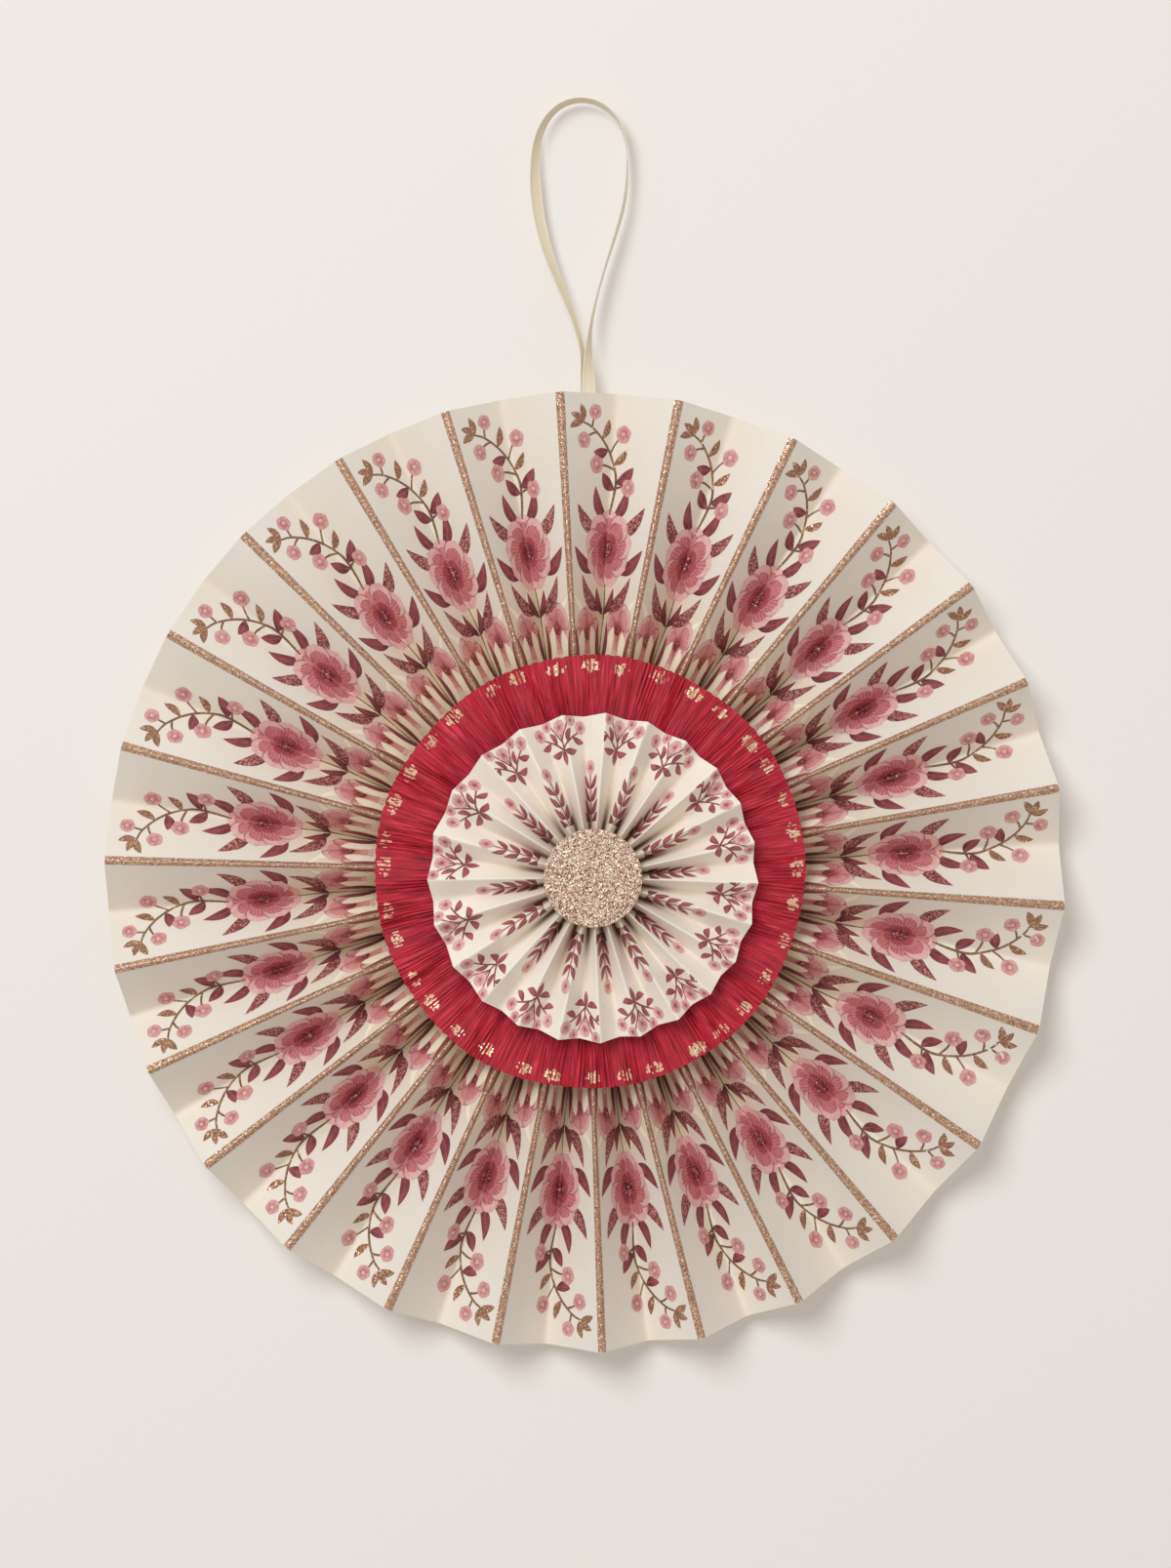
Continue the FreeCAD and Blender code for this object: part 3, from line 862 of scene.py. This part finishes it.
def glitterPaint(name, *tones, grain=2600.0, tilt=0.6, paintedGlint=(1, 0.96, 0.9)):
    # coarse flakes, each its own colour and lying its own way
    dark, body, bright = [colour(*tone) for tone in tones]
    paint = Paint(name, Metallic=0.0, Roughness=0.35)
    flake = paint.cells(paint.place(), grain)
    pick, second, _ = paint.split(flake)
    # the palest flakes, at the top of the ramp, are painted glints; the other stops are the flakes' own
    # colours
    stops = [(0.0, dark), (0.35, body), (0.75, body), (0.95, bright), (1.0, paintedGlint)]
    tone = paint.add("ValToRGB", {"stops": stops}, {0: pick})
    lean = paint.vectors("SUBTRACT", {0: flake, 1: (0.5, 0.5, 0.5)})
    lean = paint.vectors("SCALE", {0: lean, "Scale": tilt})
    straight = paint.add("NewGeometry", out="Normal")
    tilted = paint.vectors("NORMALIZE", {0: paint.vectors("ADD", {0: straight, 1: lean})})
    paint.surface(Base_Color=tone, Metallic=(pick > 0.45) * 0.55,
                  Roughness=paint.remap(second, 0, 1, 0.25, 0.6), Normal=tilted)
    return paint


inks = {
    "rim": inkPaint("petal rims", (158, 82, 90), (228, 183, 178), (236, 202, 194), line=0.95, form=petalForm),
    "petal": inkPaint("petals", (144, 48, 60), (206, 128, 128), (219, 152, 149), veins=0.6, line=0.8,
                      form=petalForm),
    "palePetal": inkPaint("pale petals", (166, 74, 82), (224, 154, 150), (234, 174, 166), veins=0.5, line=0.8,
                          form=petalForm),
    "deep": inkPaint("deep petals", (112, 22, 38), (176, 84, 90), (192, 108, 110), veins=0.55, line=0.85,
                     form=petalForm),
    "leaf": inkPaint("leaves", (92, 28, 40), (138, 62, 70), (168, 94, 98), veins=0.25, line=0.7, rib=0.5),
    "speckled": inkPaint("speckled leaves", (88, 26, 38), (132, 56, 64), (162, 88, 92), veins=0.25, line=0.7,
                         rib=0.4, speckle=0.6),
    "husk": inkPaint("blade leaves", (226, 204, 166), (255, 246, 222), (252, 242, 216), veins=0.15, line=0.75,
                     rib=0.5),
    "bud": inkPaint("small blossoms", (164, 84, 92), (218, 160, 156), (230, 188, 180), veins=0.4, line=0.9,
                    form=petalForm),
    "dot": inkPaint("blossom middles", (190, 130, 112), (226, 186, 162), (236, 204, 180)),
    "stem": glitterPaint("glitter stems", (84, 60, 42), (134, 104, 76), (176, 142, 106), tilt=0.3,
                         paintedGlint=colour(196, 164, 126)),
    "gold": glitterPaint("gold leaves", (104, 66, 50), (156, 112, 84), (210, 172, 138), tilt=0.5,
                         paintedGlint=colour(244, 222, 190)),
    "heart": glitterPaint("glitter heart", (92, 24, 38), (142, 62, 70), (232, 172, 152), grain=2200.0),
    "twig": inkPaint("rosette leaves", (120, 46, 58), (168, 84, 92), (188, 112, 116), veins=0.2, line=0.3,
                     rib=0.4),
    # darker leaves near the disc, partly print and partly painted shade
    "shadeLeaf": inkPaint("rosette's inner leaves", (84, 26, 36), (132, 58, 68), (156, 80, 88), veins=0.2,
                          line=0.3, rib=0.4),
    "berry": inkPaint("rosette blossoms", (178, 100, 110), (228, 176, 172), (238, 204, 196), veins=0.3,
                      line=0.8, form=petalForm),
    "berryDot": inkPaint("rosette blossom middles", (150, 72, 80), (168, 90, 94), (200, 140, 136)),
}

# the rows of each paper's grid that its print covers
fanPrintRows = [r for r in largeFan["rows"] if 60 < r < 150] + [150.5]
rosettePrintRows = [r for r in smallRosette["rows"] if r > 17]

# the fan's print repeats with every bay: u runs from ridge to ridge, and the fold in the bay is u = 0
spreadInk("fan_print", fan, fanFoot() + fanBloom() + fanTwig(), fanPrintRows, 2, "fan_paper")

# the rosette's print repeats with every three panels, of which six are cut at once
sprigWidth = 3 * rosette.panel
sprigs = []
for start in (-0.75 * sprigWidth, 0.25 * sprigWidth):
    sprigs += rosettePosy(start) + rosetteEar(start + sprigWidth / 2)
spreadInk("rosette_print", rosette, sprigs, rosettePrintRows, 6, "rosette_paper")


# Glitter lines along the front folds of the large fan

stripe = {"half": 1.5, "from": 36, "to": 152.3, "height": 0.09, "stray": 0.012, "seed": 21,
          "shares": (0.01, 0.02, 0.04), "grain": 3000.0, "tilt": 0.45,
          "tones": ((98, 64, 46), (182, 142, 114), (242, 210, 180))}


def glitterLines():
    reach = stripe["half"] / fan.panel
    right = [*stripe["shares"], reach]
    shares = [-share for share in reversed(right)] + [0] + right
    rows = [r for r in largeFan["rows"] if stripe["from"] <= r < stripe["to"]] + [stripe["to"]]
    rng = random.Random(stripe["seed"])
    wide = len(shares)
    places, faces = [], []
    for k in range(0, fan.count, 2):
        first = len(places) * len(rows) * wide
        stray = rng.uniform(-stripe["stray"], stripe["stray"])
        q, r = np.meshgrid([k + s + (stray if abs(s) == reach else 0) for s in shares], rows)
        above = np.full(q.shape, largeFan["paper"] / 2 + stripe["height"])
        places.append(fan.at(q, r, above).reshape(-1, 3))
        for i in range(len(rows) - 1):
            for j in range(wide - 1):
                a = first + i * wide + j
                faces.append((a, a + 1, a + wide + 1, a + wide))
    piece = pieceFromFaces("glitter_lines", np.concatenate(places) * mm, faces)
    faceFront(piece)
    smoothUnder(piece, 50)
    return piece


stripePaint = glitterPaint("fold line glitter", *stripe["tones"], grain=stripe["grain"], tilt=stripe["tilt"])
finishPiece(glitterLines(), stripePaint, "fan_paper")


# Crepe ring: gathered and crinkled, with dabs of pale gold on its crests

crepe = {"inner": 14.0, "outer": 68.2, "gathers": 104, "wobble": 0.8, "ragged": 0.16, "right": 1.4,
         "columns": 1040, "crinkle": 0.46, "crinkles": 7, "thinned": 0.9, "seed": 12,
         # the deep tone is painted shade in the crinkles and, by the cloud, a darker dye at random; the light
         # tone is a painted highlight on their crests
         "red": colour(212, 32, 60), "deep": colour(122, 5, 26), "paintedHighlight": colour(246, 112, 122)}
dabs = {"count": 36, "radius": 64.7, "stray": 0.16, "strayOut": 0.5, "sizes": (1.15, 1.5), "heart": 0.62,
        "petals": 6, "petalFrom": (1.55, 1.0), "petal": (0.75, 0.52), "missing": 0.08, "height": 0.07,
        "seed": 5, "tones": ((176, 122, 90), (226, 188, 152), (252, 228, 198))}


def crepeHeights(turn, share):
    # gathers that waver along the strip, and fine crinkles that come and go
    rng = np.random.default_rng(crepe["seed"])
    phase = turn * crepe["gathers"] + 1.4 * np.sin(7 * turn + 2.2 * share)
    phase = phase + 0.5 * np.sin(19 * turn - 3 * share)
    gather = (0.5 - 0.5 * np.cos(phase)) * (0.55 + 0.3 * np.sin(7 * turn + 3 * share))
    fine = np.zeros_like(turn)
    for _ in range(crepe["crinkles"]):
        waves = int(rng.integers(260, 420))
        slant = rng.uniform(-9, 9)
        start = rng.uniform(0, 6.28)
        swell = np.sin(rng.integers(5, 23) * turn + rng.uniform(0, 6.28) + rng.uniform(2, 7) * share)
        fine += np.sin(waves * turn + slant * share + start) * (0.5 + 0.5 * swell)
    return layers["gathers"] * gather + crepe["crinkle"] * fine / 3.2


def crepeGrid():
    # rows from the bore to the edge, closer together where the ring is seen
    turn = np.linspace(0, 2 * math.pi, crepe["columns"], endpoint=False)
    shares = np.concatenate([[0, 0.35, 0.55, 0.64], np.linspace(0.68, 1, 26)])
    turns, share = np.meshgrid(turn, shares)
    wave = np.sin(2 * turns + 0.6) + 0.6 * np.sin(5 * turns + 2.0) + 0.5 * np.sin(9 * turns)
    ragged = crepe["ragged"] * np.sin(140 * turns + 2 * np.sin(11 * turns)) * share ** 6
    edge = crepe["outer"] + crepe["wobble"] * wave / 2 + ragged
    radius = crepe["inner"] + (edge - crepe["inner"]) * share
    seatRadii = np.linspace(10, 75, 66)
    seat = np.interp(radius + crepe["right"], seatRadii, [fan.highest(r) for r in seatRadii])
    rise = crepeHeights(turns, share)
    height = fan.middle + seat + layers["glue"] + layers["crepe"] / 2 + rise
    sway = 0.005 * np.sin(9 * share + 17 * turns) * share
    x = radius * np.sin(turns + sway) + crepe["right"]
    z = radius * np.cos(turns + sway)
    return turns, radius, rise, np.stack([x, -height, z], -1)


def gatherCrepe():
    places = crepeGrid()[-1]
    piece = bentGrid("crinkled_crepe", np.concatenate([places, places[:, :1]], 1) * mm)
    tidyNormals(piece, 1e-7)
    faceFront(piece)
    thicken(piece, layers["crepe"] * mm * crepe["thinned"])
    smoothUnder(piece, 60)
    return piece


def crepePaint():
    paint = Paint("crimson crepe", Roughness=0.7)
    place = paint.place()
    x, _, z = paint.split(place)
    x = x - crepe["right"] * mm
    angle = paint.maths("ARCTAN2", x, z)
    reach = paint.maths("SQRT", x * x + z * z)
    polar = paint.add("CombineXYZ", None, {0: angle * 60.0, 1: reach * 55.0})
    strands = paint.noise(polar, 1.9, 3, 0.65) * 0.75 + paint.noise(polar, 0.9, 2, 0.5) * 0.25
    cloud = paint.noise(place, 60.0, 3)
    # the tone follows the strands, as the bump does: painted shade in their hollows and painted highlight on
    # their crests
    tone = paint.blend(paint.remap(strands, 0.37, 0.6), crepe["deep"], crepe["red"])
    tone = paint.blend(paint.remap(strands, 0.58, 0.74, 0, 0.6), tone, crepe["paintedHighlight"])
    tone = paint.blend(paint.remap(cloud, 0.4, 0.7, 0, 0.25), tone, crepe["deep"])
    paint.surface(Base_Color=tone)
    paint.bump(strands, 0.2 * mm, 0.85)
    return paint


def markDabs(turns, radius):
    # the points of the crepe that lie under a round middle or one of the petals about it
    rng = random.Random(crepe["seed"])
    marked = np.zeros(turns.shape, bool)
    for i in range(dabs["count"]):
        centre = 2 * math.pi * (i + rng.uniform(-dabs["stray"], dabs["stray"])) / dabs["count"]
        across = ((turns - centre + math.pi) % (2 * math.pi) - math.pi) * dabs["radius"]
        up = radius - dabs["radius"] - rng.uniform(-dabs["strayOut"], dabs["strayOut"])
        size = rng.uniform(*dabs["sizes"])
        marked |= across ** 2 + up ** 2 < (dabs["heart"] * size) ** 2
        for petal in range(dabs["petals"]):
            turn = math.radians(60 * petal + 15)
            du = across - dabs["petalFrom"][0] * size * math.cos(turn)
            dv = up - dabs["petalFrom"][1] * size * math.sin(turn)
            marked |= (du / dabs["petal"][0]) ** 2 + (dv / dabs["petal"][1]) ** 2 < size ** 2
    return marked


def ringBlossoms():
    # the dabs are on the crests alone, and a few points are missing
    turns, radius, rise, places = crepeGrid()
    grain = np.random.default_rng(dabs["seed"]).uniform(0, 1, turns.shape)
    marked = markDabs(turns, radius) & (rise > np.median(rise[4:]) - 0.1) & (grain > dabs["missing"])
    places[..., 1] -= layers["crepe"] / 2 + dabs["height"]
    wide = turns.shape[1]
    faces = []
    for i in range(turns.shape[0] - 1):
        for j in np.nonzero(marked[i])[0]:
            beside = (j + 1) % wide
            faces.append((i * wide + j, i * wide + beside, (i + 1) * wide + beside, (i + 1) * wide + j))
    used = sorted({corner for face in faces for corner in face})
    index = {old: new for new, old in enumerate(used)}
    faces = [[index[corner] for corner in face] for face in faces]
    piece = pieceFromFaces("crepe_gold_dabs", places.reshape(-1, 3)[used] * mm, faces)
    faceFront(piece)
    return piece


finishPiece(gatherCrepe(), crepePaint(), "crepe_paper", "crepe_ring")
finishPiece(ringBlossoms(), glitterPaint("pale gold dabs", *dabs["tones"]), "crepe_paper")


# Glitter disc: the domed card keeps its own mesh, and loose-lying flakes cover it

disc = {"radius": 15.5, "card": 0.9, "dome": 0.8, "right": 2.3, "up": -1.7, "flakes": 7600,
        "flakeRadius": 0.235, "flakeSizes": (0.7, 1.25), "covered": 0.98, "above": 0.03, "tilt": 34,
        "seed": 3, "grain": 1700.0,
        "cardTones": ((120, 80, 60), (196, 150, 122), (240, 210, 180)),
        # the palest tones stand partly for glints, as painted highlights, and partly for pale flakes
        "flakeTones": [(0.0, colour(84, 44, 24)), (0.38, colour(150, 98, 70)), (0.46, colour(232, 198, 168)),
                       (0.85, colour(255, 238, 216)), (1.0, colour(255, 254, 250))]}


def scatterFlakes():
    rng = random.Random(disc["seed"])
    corners, faces = [], []
    for _ in range(disc["flakes"]):
        reach = disc["radius"] * math.sqrt(rng.random()) * disc["covered"]
        turn = rng.uniform(0, 2 * math.pi)
        dome = disc["dome"] * (1 - (reach / disc["radius"]) ** 2)
        forward = discBack + disc["card"] + dome + disc["above"]
        x, z = disc["right"] + reach * math.sin(turn), disc["up"] + reach * math.cos(turn)
        middle = Vector((x, -forward, z))
        lean = math.radians(rng.uniform(0, disc["tilt"]))
        spin = rng.uniform(0, 2 * math.pi)
        normal = Vector((math.sin(lean) * math.cos(spin), -math.cos(lean), math.sin(lean) * math.sin(spin)))
        side = normal.cross(Vector((0.3, 0.2, 1))).normalized()
        other = normal.cross(side)
        size = disc["flakeRadius"] * rng.uniform(*disc["flakeSizes"])
        start = len(corners)
        for step in range(6):
            a = math.radians(60 * step + math.degrees(spin))
            corners.append((middle + side * size * math.cos(a) + other * size * math.sin(a)) * mm)
        faces.append(tuple(range(start, start + 6)))
    piece = pieceFromFaces("glitter_flakes", corners, faces)
    tint = np.random.default_rng(disc["seed"]).uniform(0, 1, len(faces))
    setUv(piece.data.uv_layers.new(name="tint"), np.repeat(np.stack([tint, 0 * tint], 1), 6, 0))
    faceFront(piece)
    return piece


def flakePaint():
    paint = Paint("rose gold flakes", Roughness=0.3)
    pick, _ = paint.uv("tint")
    tone = paint.add("ValToRGB", {"stops": disc["flakeTones"]}, {0: pick})
    paint.surface(Base_Color=tone, Metallic=(pick > 0.5) * 0.3)
    return paint


finishPiece(scatterFlakes(), flakePaint(), "gold_glitter")
dress(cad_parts["glitter_disc"], glitterPaint("glitter card", *disc["cardTones"], grain=disc["grain"]))
print("glitter disc")


# Card disc on the back

card = {"grey": colour(226, 220, 208), "warm": colour(214, 206, 192), "fibre": colour(188, 176, 156)}


def cardPaint():
    paint = Paint("grey white card", Roughness=0.75)
    place = paint.place()
    fibre = paint.noise(paint.stretched(place, (500, 500, 900)), 1.0, 4)
    cloud = paint.noise(place, 40.0, 3)
    tone = paint.blend(paint.remap(cloud, 0.35, 0.65, 0, 0.7), card["grey"], card["warm"])
    tone = paint.blend(paint.remap(fibre, 0.62, 0.74, 0, 0.5), tone, card["fibre"])
    paint.surface(Base_Color=tone)
    paint.bump(fibre, 0.03 * mm, 0.5)
    return paint


dress(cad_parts["backing_disc"], cardPaint())
print("card disc")


# Wall, lamps and world

room = {"wall": colour(240, 236, 232), "wallSize": 8, "wallBack": 0.0004, "lamp": (0.985, 1.035, 1.08),
        "key": 0.54, "keyFrom": (-0.36, -0.85, 0.48), "keyFar": 3.4, "keySize": 1.95,
        "back": 0.3, "backFrom": (0.2, 1, 0.5), "backFar": 1.6, "backSize": 1.0,
        "sky": 0.54, "skySeen": 0.84, "skyTint": (1.0, 0.938, 0.875)}


def addLamp(name, direction, far, size, level):
    bpy.ops.object.light_add(type="AREA", location=Vector(direction).normalized() * far)
    lamp = bpy.context.object
    lamp.name = name
    lamp.data.shape = "DISK"
    lamp.data.size = size
    lamp.data.energy = level * math.pi ** 2 * far ** 2
    lamp.data.color = room["lamp"]
    lamp.rotation_euler = (-lamp.location).to_track_quat("-Z", "Y").to_euler()


def makeWall():
    # a plain wall that only the camera and reflections see, and from its front alone
    clearSelection()
    bpy.ops.mesh.primitive_plane_add(size=room["wallSize"], location=(0, room["wallBack"], 0),
                                     rotation=(math.radians(90), 0, 0))
    wall = bpy.context.object
    wall.name = "wall"
    bpy.ops.object.transform_apply(location=True, rotation=True, scale=True)
    paint = Paint("plain wall")
    ray = paint.add("LightPath", out="Is Camera Ray")
    glossy = Wire(paint, ray.socket.node.outputs["Is Glossy Ray"])
    through = Wire(paint, ray.socket.node.outputs["Is Transmission Ray"])
    seen = (ray + glossy + through) * (1 - paint.add("NewGeometry", out="Backfacing"))
    clear = paint.add("BsdfTransparent")
    matt = paint.add("BsdfDiffuse", None, {"Color": room["wall"]})
    mix = paint.add("MixShader", None, {0: seen, 1: clear, 2: matt})
    paint.links.new(mix.socket, paint.nodes["Material Output"].inputs["Surface"])
    dress(wall, paint)


def makeWorld():
    # a pale sky, brighter where it is seen than where it only lights the object
    world = bpy.data.worlds.new("pale room")
    scene.world = world
    world.use_nodes = True
    nodes, links = world.node_tree.nodes, world.node_tree.links
    path = nodes.new("ShaderNodeLightPath")
    most = nodes.new("ShaderNodeMath")
    most.operation = "MAXIMUM"
    links.new(path.outputs["Is Camera Ray"], most.inputs[0])
    links.new(path.outputs["Is Glossy Ray"], most.inputs[1])
    level = nodes.new("ShaderNodeMapRange")
    level.inputs["To Min"].default_value = room["sky"]
    level.inputs["To Max"].default_value = room["skySeen"]
    links.new(most.outputs[0], level.inputs["Value"])
    sky = nodes["Background"]
    sky.inputs["Color"].default_value = (*room["skyTint"], 1)
    links.new(level.outputs[0], sky.inputs["Strength"])


makeWall()
addLamp("key_lamp", room["keyFrom"], room["keyFar"], room["keySize"], room["key"])
addLamp("back_lamp", room["backFrom"], room["backFar"], room["backSize"], room["back"])
makeWorld()
print("room")
